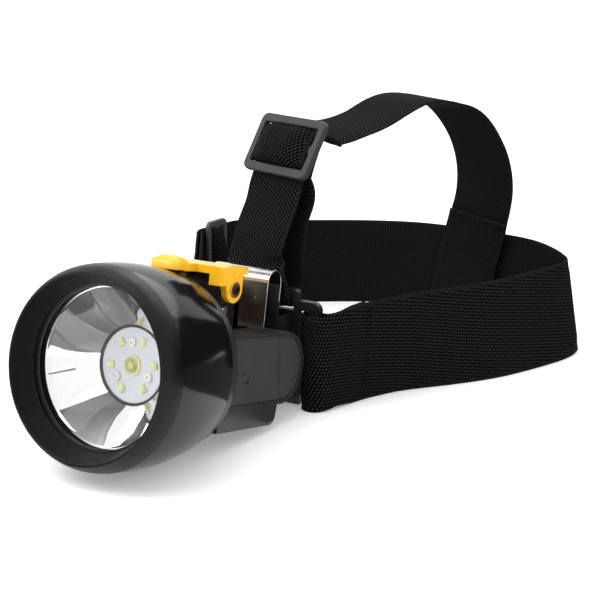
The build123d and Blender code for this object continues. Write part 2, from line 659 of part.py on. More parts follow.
# Assembly -------------------------------------------------------------------------------------
def lamp_nodes():
    """Everything that comes off with the lamp, in the lamp frame."""
    return {
        "bezel": bezel(), "body_seal": body_seal(), "lens_gasket": lens_gasket(),
        "front_lens": front_lens(), "reflector": reflector(), "led_board": led_board(),
        "board_ring": board_ring(), "board_screws": board_screws(), "main_led": main_led(),
        "main_led_dome": main_led_dome(), "aux_leds": aux_leds(), "heat_sink": heat_sink(),
        "driver_board": driver_board(), "rear_body": rear_body(),
        "side_cover_right": side_cover(1), "side_cover_left": side_cover(-1),
        "bottom_block": bottom_block(), "block_screws": block_screws(),
        "charge_contacts": charge_contacts(), "battery_cell": battery_cell(),
        "contact_plate": contact_plate(), "contact_spring": contact_spring(),
        "cell_holder": cell_holder(), "push_button": push_button(),
        "switch_board": switch_board(), "lead_wires": lead_wires(),
        "pivot_block": pivot_block(), "lug_screws": lug_screws(), "latch": latch(),
        "latch_pin": latch_pin(), "latch_eyelets": latch_eyelets(),
        "leaf_spring": leaf_spring(), "steel_clip": steel_clip(), "clip_rivets": clip_rivets(),
    }


def headgear_nodes():
    return {
        "forehead_plate": forehead_plate(), "band_adjuster": band_adjuster(),
        "strap_slider": strap_slider(), "adjuster_loop": adjuster_loop(),
        "slider_loop": slider_loop(), "headband": headband(), "overhead_strap": overhead_strap(),
    }


def main():
    """Place both assemblies over the origin, standing on Z = 0, and write every node."""
    nodes = {}
    for name, shape in lamp_nodes().items():
        nodes[name] = [LAMP * s for s in (shape if isinstance(shape, list) else [shape])]
    for name, shape in headgear_nodes().items():
        nodes[name] = [shape]
    box = Compound(children=[s for item in nodes.values() for s in item]).bounding_box()
    offset = Pos(-(box.min.X + box.max.X) / 2, -(box.min.Y + box.max.Y) / 2, -box.min.Z)
    print("offset", offset.position)
    os.makedirs("parts", exist_ok=True)
    for name, shapes in nodes.items():
        save(name, shapes, offset)


main()
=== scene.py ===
"""Looks of the cordless cap lamp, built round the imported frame.

Lamp pieces are drawn in the lamp's own frame in millimetres (X across, Y along the beam axis
pointing backwards, Z up) and placed by LAMP. Headgear pieces are drawn in millimetres from the
middle of the forehead and placed by HEAD.
"""
import json
import math

import bmesh
import bpy
import numpy as np
from mathutils import Matrix, Vector


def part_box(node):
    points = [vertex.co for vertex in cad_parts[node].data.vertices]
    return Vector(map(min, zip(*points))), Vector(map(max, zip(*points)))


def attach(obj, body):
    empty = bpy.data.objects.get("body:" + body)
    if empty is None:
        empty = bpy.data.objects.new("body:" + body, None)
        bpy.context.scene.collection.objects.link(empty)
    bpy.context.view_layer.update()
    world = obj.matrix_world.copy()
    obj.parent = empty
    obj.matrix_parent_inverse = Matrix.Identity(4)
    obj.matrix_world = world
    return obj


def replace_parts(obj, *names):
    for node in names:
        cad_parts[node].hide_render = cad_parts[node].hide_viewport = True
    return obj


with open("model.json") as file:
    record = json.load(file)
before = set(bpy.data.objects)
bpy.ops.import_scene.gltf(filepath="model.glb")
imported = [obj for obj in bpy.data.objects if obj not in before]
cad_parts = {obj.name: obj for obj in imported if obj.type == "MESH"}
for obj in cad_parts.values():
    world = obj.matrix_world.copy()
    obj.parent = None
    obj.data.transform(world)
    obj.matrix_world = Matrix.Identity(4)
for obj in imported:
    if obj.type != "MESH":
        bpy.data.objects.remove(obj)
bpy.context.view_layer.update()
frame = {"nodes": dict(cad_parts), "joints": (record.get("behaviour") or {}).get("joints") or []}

JOINTS = {j["name"]: j for j in frame["joints"]}
MM = Matrix.Scale(0.001, 4)
BEAM = Vector(JOINTS["bezel_turn"]["axis"])
LAMP = (Matrix.Translation(JOINTS["bezel_turn"]["pos_m"])
        @ Vector((0, 1, 0)).rotation_difference(BEAM).to_matrix().to_4x4() @ MM)
# The headgear's origin is this far from the lowest corner of the forehead plate, in metres
HEAD_FROM_PLATE = Vector((0.027, 0.0107, -0.0006))
HEAD = Matrix.Translation(Vector(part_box("forehead_plate")[0]) + HEAD_FROM_PLATE) @ MM


# Mesh helpers ---------------------------------------------------------------------------------
def make(name, verts, faces, place, body, material):
    """Smooth mesh object from points in millimetres, riding on a body."""
    mesh = bpy.data.meshes.new(name)
    mesh.from_pydata([place @ Vector(v) for v in verts], [], faces)
    bm = bmesh.new()
    bm.from_mesh(mesh)
    bmesh.ops.remove_doubles(bm, verts=bm.verts, dist=1e-7)
    bmesh.ops.recalc_face_normals(bm, faces=bm.faces)
    bm.to_mesh(mesh)
    bm.free()
    mesh.polygons.foreach_set("use_smooth", [True] * len(mesh.polygons))
    obj = bpy.data.objects.new(name, mesh)
    bpy.context.scene.collection.objects.link(obj)
    mesh.materials.append(material)
    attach(obj, body)
    return obj


def lathe(name, profile, body, material, steps=144):
    """Body of revolution about the beam axis from a closed ring of (radius, depth) points."""
    verts, faces = [], []
    n = len(profile)
    for i in range(steps):
        a = 2 * math.pi * i / steps
        for r, y in profile:
            verts.append((r * math.cos(a), y, r * math.sin(a)))
    for i in range(steps):
        j = (i + 1) % steps
        for k in range(n):
            m = (k + 1) % n
            faces.append((i * n + k, i * n + m, j * n + m, j * n + k))
    return make(name, verts, faces, LAMP, body, material)


def keep_sharp(obj, degrees):
    """Smooth shading that stops at edges sharper than an angle."""
    limit = math.radians(degrees)
    bm = bmesh.new()
    bm.from_mesh(obj.data)
    for edge in bm.edges:
        edge.smooth = not (len(edge.link_faces) == 2 and edge.calc_face_angle(0.0) > limit)
    bm.to_mesh(obj.data)
    bm.free()
    return obj


def soften(obj, width):
    """Rounds the edges of a CAD node without changing its mesh; width in millimetres."""
    weld = obj.modifiers.new("weld", "WELD")
    weld.merge_threshold = 2e-6
    bevel = obj.modifiers.new("bevel", "BEVEL")
    bevel.width = width * 0.001
    bevel.segments = 2
    bevel.limit_method = "ANGLE"
    bevel.angle_limit = math.radians(32)
    bevel.harden_normals = True
    bevel.miter_outer = "MITER_ARC"


# Webbing geometry -----------------------------------------------------------------------------
INNER_MAP = 200.0                   # shift of the weave map on the inner face of a strip
EDGE_OUT, EDGE_FLAT = 0.35, 0.62    # rounding of a strip's edge, as shares of half its thickness
STITCH_PITCH, STITCH_LENGTH, THREAD_R = 2.6, 1.9, 0.26


def spline(points, values, spacing):
    """Natural cubic spline through points by chord length; values are interpolated along it."""
    points = np.array(points, float)
    values = np.array(values, float)
    gaps = np.linalg.norm(np.diff(points, axis=0), axis=1)
    t = np.concatenate([[0.0], np.cumsum(gaps)])
    n = len(t)
    system = np.zeros((n, n))
    system[0, 0] = system[-1, -1] = 1.0
    target = np.zeros((n, 3))
    for i in range(1, n - 1):
        a, b = gaps[i - 1], gaps[i]
        system[i, i - 1:i + 2] = a, 2 * (a + b), b
        target[i] = 6 * ((points[i + 1] - points[i]) / b - (points[i] - points[i - 1]) / a)
    bend = np.linalg.solve(system, target)
    count = int(t[-1] / spacing) + 1
    at = np.linspace(0, t[-1], count)
    k = np.clip(np.searchsorted(t, at, "right") - 1, 0, n - 2)
    h = gaps[k][:, None]
    a = (t[k + 1] - at)[:, None]
    b = (at - t[k])[:, None]
    curve = (bend[k] * a ** 3 + bend[k + 1] * b ** 3) / (6 * h)
    curve += (points[k] / h - bend[k] * h / 6) * a + (points[k + 1] / h - bend[k + 1] * h / 6) * b
    share = b / h
    return curve, values[k] * (1 - share) + values[k + 1] * share


class Ribbon:
    """Woven strip along a path: its stations, its mesh and the places on its faces.

    The path is a list of (point, direction across the strip, width), in millimetres; outer is the
    side of the strip that shows.
    """

    def __init__(self, path, thick, spacing=1.0, outer=1):
        points = [p[0] for p in path]
        extra = [(*p[1], p[2]) for p in path]
        self.at, values = spline(points, extra, spacing)
        self.width = values[:, 3]
        self.thick = thick
        self.outer = outer
        self.tangent = np.gradient(self.at, axis=0)
        self.tangent /= np.linalg.norm(self.tangent, axis=1)[:, None]
        wide = values[:, :3]
        wide = wide - (wide * self.tangent).sum(axis=1)[:, None] * self.tangent
        self.across = wide / np.linalg.norm(wide, axis=1)[:, None]
        self.normal = np.cross(self.tangent, self.across) * outer
        steps = np.linalg.norm(np.diff(self.at, axis=0), axis=1)
        self.run = np.concatenate([[0.0], np.cumsum(steps)])

    def point(self, run, v, n):
        """Point at a distance along the strip, across it and out of its middle surface."""
        def mix(table):
            return np.array([np.interp(run, self.run, table[:, i]) for i in range(3)])
        return mix(self.at) + mix(self.across) * v + mix(self.normal) * n

    def nearest(self, target, after=0.0):
        """Distance along the strip of the station nearest a point."""
        gap = np.linalg.norm(self.at - np.array(target), axis=1) + 1000.0 * (self.run < after)
        return self.run[int(np.argmin(gap))]

    def mesh(self, name, body, material, droop=0.0):
        """Closed strip with rounded edges; its map is in millimetres along and across the strip.

        droop lets the edges of a raised loop sink towards its ends by that share of its height.
        """
        ends = (self.at[0] + self.at[-1]) / 2
        crown = self.normal[len(self.at) // 2]
        lift = ((self.at - ends) * crown).sum(axis=1)
        h = self.thick / 2
        cols = 14
        ring = [(-1.0 + 2.0 * i / cols, 1) for i in range(cols + 1)]
        ring += [(1.0 - 2.0 * i / cols, -1) for i in range(cols + 1)]
        n = len(ring)
        size = n + 2

        def edge_sink(share):
            return max(0.0, abs(share) - 0.35) ** 1.6 / 0.5

        verts = []
        for i, (p, a, m, w) in enumerate(zip(self.at, self.across, self.normal, self.width)):
            half = w / 2
            sink = crown * max(0.0, lift[i]) * droop
            for share, face in ring:
                edge = max(0.0, abs(share) - 1 + 2.0 / cols) * cols / 2
                v = share * (half - h) + math.copysign(edge * h * EDGE_OUT, share)
                level = h * (EDGE_FLAT if edge else 1.0)
                verts.append(p + a * v + m * face * level - sink * edge_sink(share))
            for v in (-half, half):
                verts.append(p + a * v - sink * edge_sink(v / half))

        faces, maps = [], []
        order = list(range(cols + 1)) + [n + 1] + list(range(cols + 1, n)) + [n]
        for i in range(len(self.at) - 1):
            for k, first in enumerate(order):
                second = order[(k + 1) % len(order)]
                inner_shift = INNER_MAP if k > cols else 0.0
                quad = (i * size + first, i * size + second, (i + 1) * size + second,
                        (i + 1) * size + first)
                faces.append(quad)
                spot = []
                for index in quad:
                    j, c = divmod(index, size)
                    half = self.width[j] / 2
                    v = (-half, half)[c - n] if c >= n else ring[c][0] * (half - h)
                    spot.append((self.run[j], v + inner_shift))
                maps.append(spot)
        for j in (0, len(self.at) - 1):
            faces.append(tuple(j * size + k for k in order))
            maps.append([(self.run[j], 0.0)] * len(order))

        mesh = bpy.data.meshes.new(name)
        mesh.from_pydata([HEAD @ Vector(v) for v in verts], [], faces)
        layer = mesh.uv_layers.new(name="weave")
        for polygon, spot in zip(mesh.polygons, maps):
            for loop, value in zip(polygon.loop_indices, spot):
                layer.data[loop].uv = value
        mesh.polygons.foreach_set("use_smooth", [True] * len(mesh.polygons))
        bm = bmesh.new()
        bm.from_mesh(mesh)
        bmesh.ops.recalc_face_normals(bm, faces=bm.faces)
        bm.to_mesh(mesh)
        bm.free()
        obj = bpy.data.objects.new(name, mesh)
        bpy.context.scene.collection.objects.link(obj)
        mesh.materials.append(material)
        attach(obj, body)
        return obj

    def stitches(self, run, low, high, side=1, along=False, lift=0.05):
        """Tubes of thread for one line of stitching, across the strip or along it."""
        verts, faces = [], []
        count = int((high - low) / STITCH_PITCH)
        for i in range(count):
            start = low + (i + 0.5) * (high - low) / count - STITCH_LENGTH / 2
            spine = []
            for k in range(5):
                share = k / 4
                rise = math.sin(math.pi * share) * 0.22 - 0.12
                n = side * (self.thick / 2 + lift + rise)
                spot = start + share * STITCH_LENGTH
                wander = 0.1 * math.sin(i * 2.3 + share)
                if along:
                    spine.append(self.point(spot, run + wander, n))
                else:
                    spine.append(self.point(run + wander, spot, n))
            add_tube(verts, faces, spine, THREAD_R)
        return verts, faces


def add_tube(verts, faces, spine, radius, sides=6):
    """Append a rounded tube through the points of spine."""
    spine = [np.array(p, float) for p in spine]
    start = len(verts)
    direction = spine[-1] - spine[0]
    side = np.cross(direction, (0.31, 0.22, 0.93))
    side /= np.linalg.norm(side)
    other = np.cross(direction, side)
    other /= np.linalg.norm(other)
    last = len(spine) - 1
    for k, p in enumerate(spine):
        r = radius * (0.55 if k in (0, last) else 1.0)
        for j in range(sides):
            a = 2 * math.pi * j / sides
            verts.append(p + side * r * math.cos(a) + other * r * math.sin(a))
    for k in range(last):
        for j in range(sides):
            m = (j + 1) % sides
            a = start + k * sides
            faces.append((a + j, a + m, a + sides + m, a + sides + j))
    faces.append(tuple(start + j for j in range(sides)))
    faces.append(tuple(start + last * sides + j for j in range(sides)))


# Materials ------------------------------------------------------------------------------------
class Nodes:
    """Short calls for building a node material."""

    def __init__(self, name):
        self.material = bpy.data.materials.new(name)
        self.material.use_nodes = True
        self.tree = self.material.node_tree
        self.tree.nodes.clear()
        self.out = self.add("ShaderNodeOutputMaterial")
        self.bsdf = self.add("ShaderNodeBsdfPrincipled")
        self.link(self.bsdf, "BSDF", self.out, "Surface")

    def add(self, kind, **values):
        node = self.tree.nodes.new(kind)
        for key, value in values.items():
            if hasattr(node, key) and key not in node.inputs:
                setattr(node, key, value)
            else:
                node.inputs[key].default_value = value
        return node

    def link(self, a, out, b, into):
        """Join an output of a, by name or number, or an output itself when a is None."""
        source = out if a is None else a.outputs[out]
        self.tree.links.new(source, b.inputs[into])

    def noise(self, scale, detail=4.0):
        """Noise over the object's own coordinates."""
        node = self.add("ShaderNodeTexNoise", Scale=scale, Detail=detail, Roughness=0.6)
        self.link(self.add("ShaderNodeTexCoord"), "Object", node, "Vector")
        return node

    def ramp(self, source, out, stops):
        node = self.add("ShaderNodeValToRGB")
        ramp = node.color_ramp
        while len(ramp.elements) < len(stops):
            ramp.elements.new(0.5)
        for element, (pos, color) in zip(ramp.elements, stops):
            element.position = pos
            element.color = (*color, 1)
        self.link(source, out, node, "Fac")
        return node

    def remap(self, source, out, low, high, from_low=0.3, from_high=0.7):
        node = self.add("ShaderNodeMapRange")
        node.inputs["From Min"].default_value = from_low
        node.inputs["From Max"].default_value = from_high
        node.inputs["To Min"].default_value = low
        node.inputs["To Max"].default_value = high
        self.link(source, out, node, "Value")
        return node

    def bump(self, source, out, strength, distance):
        node = self.add("ShaderNodeBump", Strength=strength, Distance=distance)
        self.link(source, out, node, "Height")
        return node

    def maths(self, operation, *inputs):
        """Result of arithmetic on numbers and outputs."""
        node = self.add("ShaderNodeMath", operation=operation)
        for i, value in enumerate(inputs):
            if isinstance(value, (int, float)):
                node.inputs[i].default_value = value
            else:
                self.link(None, value, node, i)
        return node.outputs[0]

    def mix(self, kind, share, low, high):
        """Result of a FLOAT or RGBA mix of two outputs or colours."""
        node = self.add("ShaderNodeMix", data_type=kind)
        first, result = {"FLOAT": (2, 0), "RGBA": (6, 2)}[kind]
        for i, value in ((0, share), (first, low), (first + 1, high)):
            if isinstance(value, tuple):
                node.inputs[i].default_value = value
            else:
                self.link(None, value, node, i)
        return node.outputs[result]


def solid(name, color, rough=0.4, metal=0.0, grain=400.0, depth=0.00002, vary=0.12, rough_vary=0.08,
          **extra):
    """Moulded or metal surface: fine texture, uneven gloss and slight colour variation."""
    n = Nodes(name)
    fine = n.noise(grain * 10)
    broad = n.noise(grain * 0.25)
    low = [c * (1 - vary) for c in color]
    high = [min(1.0, c * (1 + vary)) for c in color]
    tint = n.ramp(broad, "Fac", [(0.3, low), (0.7, high)])
    n.link(tint, "Color", n.bsdf, "Base Color")
    gloss = n.remap(broad, "Fac", max(0.02, rough - rough_vary), rough + rough_vary)
    n.link(gloss, "Result", n.bsdf, "Roughness")
    n.bsdf.inputs["Metallic"].default_value = metal
    n.link(n.bump(fine, "Fac", 0.5, depth), "Normal", n.bsdf, "Normal")
    for key, value in extra.items():
        n.bsdf.inputs[key.replace("_", " ")].default_value = value
    return n.material


def webbing_material(name, pitch, slope, half):
    """Black elastic: slanting rows of rib with pits between them, and a plain woven edge. Its
    colour holds painted shade in the pits and a painted highlight on the rib crests.

    pitch is the distance between rows along the strip, slope how far a row runs along the strip
    for each millimetre across it, and half the half width of the strip, in millimetres.
    """
    n = Nodes(name)
    uv = n.add("ShaderNodeUVMap", uv_map="weave")
    split = n.add("ShaderNodeSeparateXYZ")
    n.link(uv, "UV", split, "Vector")
    run, side = split.outputs["X"], split.outputs["Y"]
    inner = n.maths("GREATER_THAN", side, INNER_MAP / 2)
    across = n.maths("SUBTRACT", side, n.maths("MULTIPLY", inner, INNER_MAP))

    def waves(distance, length):
        return n.maths("SINE", n.maths("MULTIPLY", distance, 2 * math.pi / length))

    wander = n.add("ShaderNodeTexNoise", Scale=0.35, Detail=3.0)
    n.link(uv, "UV", wander, "Vector")
    drift = n.maths("MULTIPLY", wander.outputs["Fac"], 0.5)
    row = n.maths("ADD", n.maths("ADD", run, n.maths("MULTIPLY", across, slope)), drift)
    cross = n.maths("ADD", n.maths("ADD", across, n.maths("MULTIPLY", run, -slope * 0.35)), drift)
    rib = n.maths("MULTIPLY", waves(row, pitch), 0.32)
    course = n.maths("MULTIPLY", waves(cross, pitch * 1.05), 0.22)
    weave = n.maths("ADD", n.maths("ADD", rib, course), 0.5)
    edge_weave = n.maths("ADD", n.maths("MULTIPLY", waves(run, pitch * 0.62), 0.12), 0.62)
    edge = n.remap(None, n.maths("ABSOLUTE", across), 0.0, 1.0, half - 1.9, half - 1.5)
    plain = n.maths("MAXIMUM", edge.outputs["Result"], n.maths("MULTIPLY", inner, 0.8))
    fuzz = n.add("ShaderNodeTexNoise", Scale=5.0, Detail=4.0)
    n.link(uv, "UV", fuzz, "Vector")
    height = n.maths("ADD", n.mix("FLOAT", plain, weave, edge_weave),
                     n.maths("MULTIPLY", fuzz.outputs["Fac"], 0.25))
    # Colour follows the weave height: painted shade darkens the pits and a painted highlight
    # lightens the rib crests.
    painted_weave_shading = n.ramp(None, height, [(0.3, (0.0004, 0.0003, 0.0004)), (0.62, (0.0024, 0.0021, 0.0022)),
                                 (1.0, (0.026, 0.023, 0.024))])
    n.link(painted_weave_shading, "Color", n.bsdf, "Base Color")
    n.bsdf.inputs["Roughness"].default_value = 0.72
    n.bsdf.inputs["Specular IOR Level"].default_value = 0.015
    n.bsdf.inputs["Sheen Weight"].default_value = 0.0015
    n.bsdf.inputs["Sheen Roughness"].default_value = 0.5
    n.link(n.bump(None, height, 0.75, 0.0003), "Normal", n.bsdf, "Normal")
    return n.material


def bezel_material(name):
    """Gloss black outside, satin black on the hood face inside the crest."""
    n = Nodes(name)
    offset = n.add("ShaderNodeVectorMath", operation="SUBTRACT")
    offset.inputs[1].default_value = LAMP.to_translation()
    n.link(n.add("ShaderNodeTexCoord"), "Object", offset, 0)
    depth = n.add("ShaderNodeVectorMath", operation="DOT_PRODUCT")
    depth.inputs[1].default_value = BEAM
    n.link(offset, "Vector", depth, 0)
    crest = (-0.0006, 0.0004)       # where satin gives way to gloss, in metres along the beam
    outside = n.remap(depth, "Value", 0.0, 1.0, *crest).outputs["Result"]
    broad = n.noise(90)
    gloss = n.remap(broad, "Fac", 0.1, 0.16).outputs["Result"]
    satin = n.remap(broad, "Fac", 0.3, 0.42).outputs["Result"]
    n.link(None, n.mix("FLOAT", outside, satin, gloss), n.bsdf, "Roughness")
    tint = n.mix("RGBA", outside, (0.002, 0.002, 0.0028, 1), (0.005, 0.0042, 0.0044, 1))
    n.link(None, tint, n.bsdf, "Base Color")
    shine = n.remap(None, outside, 0.2, 0.3, 0.0, 1.0)
    n.link(shine, "Result", n.bsdf, "Specular IOR Level")
    n.link(n.bump(n.noise(2500), "Fac", 0.3, 0.000004), "Normal", n.bsdf, "Normal")
    return n.material


BLACK_GLOSS = bezel_material("bezel_black")
HOOD_BLACK = solid("hood_black", (0.005, 0.005, 0.005), rough=0.4, depth=0.00001)
HOUSING = solid("housing_black", (0.018, 0.016, 0.0175), rough=0.34, depth=0.000005)
COVER = solid("cover_grey", (0.037, 0.033, 0.037), rough=0.34, depth=0.000005)
SPRING = solid("spring_dark", (0.085, 0.06, 0.045), rough=0.16, metal=1.0, depth=0.000003)
RUBBER = solid("rubber", (0.012, 0.012, 0.012), rough=0.6)
STEEL = solid("steel", (0.72, 0.69, 0.65), rough=0.2, metal=1.0, depth=0.000003)
PIN_DARK = solid("pin_dark", (0.03, 0.018, 0.012), rough=0.35, metal=0.6)
BRONZE = solid("eyelet_bronze", (0.62, 0.4, 0.2), rough=0.3, metal=1.0)
YELLOW = solid("latch_yellow", (0.86, 0.46, 0.01), rough=0.28, depth=0.000004,
               Subsurface_Weight=0.15, Subsurface_Radius=(0.004, 0.002, 0.0005))
WHITE = solid("white_mask", (0.66, 0.69, 0.74), rough=0.3, vary=0.03)
GREY_GLIDE = solid("glide_grey", (0.062, 0.06, 0.062), rough=0.34)
SLIDER_GREY = solid("slider_grey", (0.034, 0.033, 0.034), rough=0.42, Specular_IOR_Level=0.3)
DARK = solid("dark_plastic", (0.01, 0.01, 0.0105), rough=0.4)
PHOSPHOR = solid("phosphor", (0.74, 0.75, 0.4), rough=0.4)
ALUMINIUM = solid("aluminium", (0.7, 0.7, 0.72), rough=0.35, metal=1.0)
CIRCUIT = solid("circuit_green", (0.02, 0.11, 0.06), rough=0.35)
BRASS = solid("contact_gold", (0.75, 0.55, 0.25), rough=0.25, metal=1.0)
CELL = solid("cell_sleeve", (0.04, 0.08, 0.25), rough=0.35)
WIRE = solid("wire_red", (0.35, 0.02, 0.02), rough=0.45)


def mirror_material():
    """Bright metallised plastic with a faint waviness."""
    n = Nodes("reflector_mirror")
    n.bsdf.inputs["Base Color"].default_value = (0.93, 0.93, 0.94, 1)
    n.bsdf.inputs["Metallic"].default_value = 1.0
    n.bsdf.inputs["Roughness"].default_value = 0.04
    n.link(n.bump(n.noise(120, 2), "Fac", 0.12, 0.0002), "Normal", n.bsdf, "Normal")
    return n.material


def clear_material(name, tint=(1, 1, 1)):
    """Thin clear layer: see-through with a surface gloss and a light film of dust."""
    n = Nodes(name)
    n.tree.nodes.remove(n.bsdf)
    clear = n.add("ShaderNodeBsdfTransparent")
    clear.inputs["Color"].default_value = (*tint, 1)
    gloss = n.add("ShaderNodeBsdfGlossy")
    gloss.inputs["Roughness"].default_value = 0.02
    fresnel = n.add("ShaderNodeFresnel", IOR=1.5)
    dust = n.remap(n.noise(300, 6), "Fac", 0.0, 0.02)
    side = n.add("ShaderNodeNewGeometry")
    entering = n.maths("SUBTRACT", 1.0, side.outputs["Backfacing"])
    share = n.maths("ADD", n.maths("MULTIPLY", fresnel.outputs["Fac"], entering),
                    dust.outputs["Result"])
    layer = n.add("ShaderNodeMixShader")
    n.link(None, share, layer, "Fac")
    n.link(clear, 0, layer, 1)
    n.link(gloss, 0, layer, 2)
    n.link(layer, "Shader", n.out, "Surface")
    return n.material


MIRROR = mirror_material()
LENS = clear_material("lens_clear")
BAND_WEAVE = webbing_material("band_webbing", 1.25, -0.5, 20.0)
STRAP_WEAVE = webbing_material("strap_webbing", 1.4, 0.75, 15.0)
THREAD = solid("thread_black", (0.006, 0.0055, 0.006), rough=0.8, Specular_IOR_Level=0.08)
DOME = clear_material("dome_clear", (1.0, 0.98, 0.9))

CAD_MATERIALS = {
    "bezel": BLACK_GLOSS, "body_seal": RUBBER, "lens_gasket": HOOD_BLACK, "front_lens": LENS,
    "reflector": MIRROR, "led_board": WHITE, "board_ring": DARK, "board_screws": STEEL,
    "main_led": PHOSPHOR, "main_led_dome": DOME, "aux_leds": PHOSPHOR, "heat_sink": ALUMINIUM,
    "driver_board": CIRCUIT, "rear_body": HOUSING, "side_cover_right": COVER,
    "side_cover_left": COVER, "bottom_block": HOUSING, "block_screws": STEEL,
    "charge_contacts": BRASS, "battery_cell": CELL, "contact_plate": BRASS,
    "contact_spring": STEEL, "cell_holder": DARK, "push_button": RUBBER, "switch_board": CIRCUIT,
    "lead_wires": WIRE, "pivot_block": DARK, "lug_screws": STEEL, "latch": YELLOW,
    "latch_pin": PIN_DARK, "latch_eyelets": BRONZE, "leaf_spring": SPRING, "steel_clip": STEEL,
    "clip_rivets": STEEL, "forehead_plate": DARK, "band_adjuster": GREY_GLIDE,
    "strap_slider": SLIDER_GREY, "adjuster_loop": BAND_WEAVE, "slider_loop": STRAP_WEAVE,
    "headband": BAND_WEAVE, "overhead_strap": STRAP_WEAVE,
}
for node, material in CAD_MATERIALS.items():
    obj = frame["nodes"][node]
    obj.data.materials.clear()
    obj.data.materials.append(material)


# Light engine ---------------------------------------------------------------------------------
def reflector():
    """Polished cup, between a parabola and a cone, with a rolled rim and a thin neck."""
    mouth_r, mouth, neck_r, neck, apex = 25.9, 4.9, 13.62, 17.7, 22.6
    focus = mouth_r ** 2 / (apex - mouth)
    cup = []
    for y in np.linspace(mouth, neck, 26):
        parabola = math.sqrt(focus * (apex - y))
        line = mouth_r + (neck_r - mouth_r) * (y - mouth) / (neck - mouth)
        cup.append((0.62 * parabola + 0.38 * line, y))
    back = [(r + 1.1, y + 0.4) for r, y in reversed(cup)]
    rim = [(28.7, 5.6), (28.9, 5.2), (28.7, 4.7), (26.6, 4.5), (26.1, 4.6)]
    cup_obj = lathe("reflector_cup", cup + back + rim, "lamp", MIRROR, steps=192)
    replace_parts(keep_sharp(cup_obj, 40), "reflector")


reflector()


# Headgear webbing -----------------------------------------------------------------------------
BAND_W, LOOP_W, BAND_T = 40.0, 36.4, 1.6      # headband: width, width at the plate, thickness
STRAP_W, STRAP_T = 30.0, 1.4                  # overhead strap
GAP = 0.22                                    # between webbing and the bar it passes

# The two glides: middle, (width, length, bar, middle bar, depth), and how the overhead one leans
ADJUSTER = {"at": (-76.0, 83.0, 23.5), "size": (47.0, 14.4, 2.2, 1.0, 2.2)}
SLIDER = {"at": (-0.6, 21.7, 94.3), "size": (36.6, 23.5, 3.6, 1.4, 3.0),
          "up": (0.158, 0.469, 0.869), "yaw": 18.1}


def unit(v):
    v = np.array(v, float)
    return v / np.linalg.norm(v)


def slider_axes():
    """Directions of the overhead glide: across the strap, along it, outwards."""
    up = unit(SLIDER["up"])
    a = math.radians(SLIDER["yaw"])
    across = np.array((math.cos(a), -math.sin(a), 0.0))
    across = unit(across - up * (across @ up))
    return across, up, np.cross(across, up)


def bulge_path(size, thick, height):
    """Webbing over the middle bar of a glide, as (along, outwards) points."""
    _, length, bar, _, depth = size
    reach = length / 2 - bar - GAP - thick / 2
    half = [(reach, -depth / 2 + 0.15), (reach - 0.1, depth / 2), (reach - 0.9, height * 0.62),
            (reach * 0.5, height * 0.93), (0.0, height)]
    return half + [(-u, n) for u, n in reversed(half[:-1])]


def join_threads(name, parts, body):
    """One piece from several lines of stitching."""
    verts, faces = [], []
    for more_verts, more_faces in parts:
        base = len(verts)
        verts += more_verts
        faces += [tuple(base + i for i in face) for face in more_faces]
    return make(name, verts, faces, HEAD, body, THREAD)


